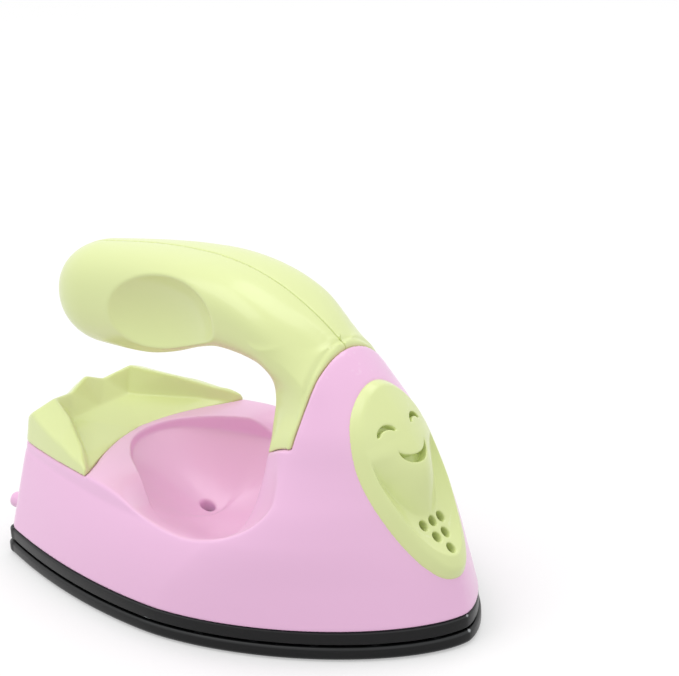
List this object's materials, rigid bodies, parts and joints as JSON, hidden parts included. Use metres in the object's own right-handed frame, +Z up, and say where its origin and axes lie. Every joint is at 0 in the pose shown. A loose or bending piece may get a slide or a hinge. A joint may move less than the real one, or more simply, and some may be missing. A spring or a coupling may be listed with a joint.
{
  "type": "mini craft iron",
  "caption": "Small craft iron: pointed soleplate, heat shield, housing with a thumb dish and front cowl, curved handle, rear deck and a vented smiling front badge.",
  "frame": {"origin": "centre of the flat sole face, midway along the soleplate's length", "axes": "+X to the pointed nose, +Y to the iron's left side, +Z up through the handle"},
  "size_m": [0.1034, 0.0624, 0.0645],
  "materials": {
    "sole": "semi-gloss non-stick coating",
    "shield": "gloss",
    "housing": "smooth moulded gloss",
    "trim": "smooth moulded gloss",
    "grip": "smooth moulded gloss",
    "fastener": "plated",
    "heater": "dull",
    "bracket": "stamped",
    "contact": "plain",
    "block": "matt ceramic look",
    "sleeve": "matt silicone"
  },
  "bodies": {
    "root": {"soleplate": "sole", "heat_shield": "shield", "body_shell": "housing", "rear_deck": "trim", "front_badge": "trim", "handle_left": "grip", "handle_right": "grip", "handle_screw_rear": "fastener", "handle_screw_front": "fastener", "dish_screw": "fastener", "sole_screw_right": "fastener", "sole_screw_left": "fastener", "sole_screw_nose": "fastener", "heater_element": "heater", "heater_clamp_left": "bracket", "heater_clamp_right": "bracket", "thermostat": "contact", "thermal_fuse": "fastener", "fuse_clip": "bracket", "terminal_block": "block", "terminal_bracket": "bracket", "wire_left": "sleeve", "wire_right": "sleeve"}
  },
  "joints": []
}
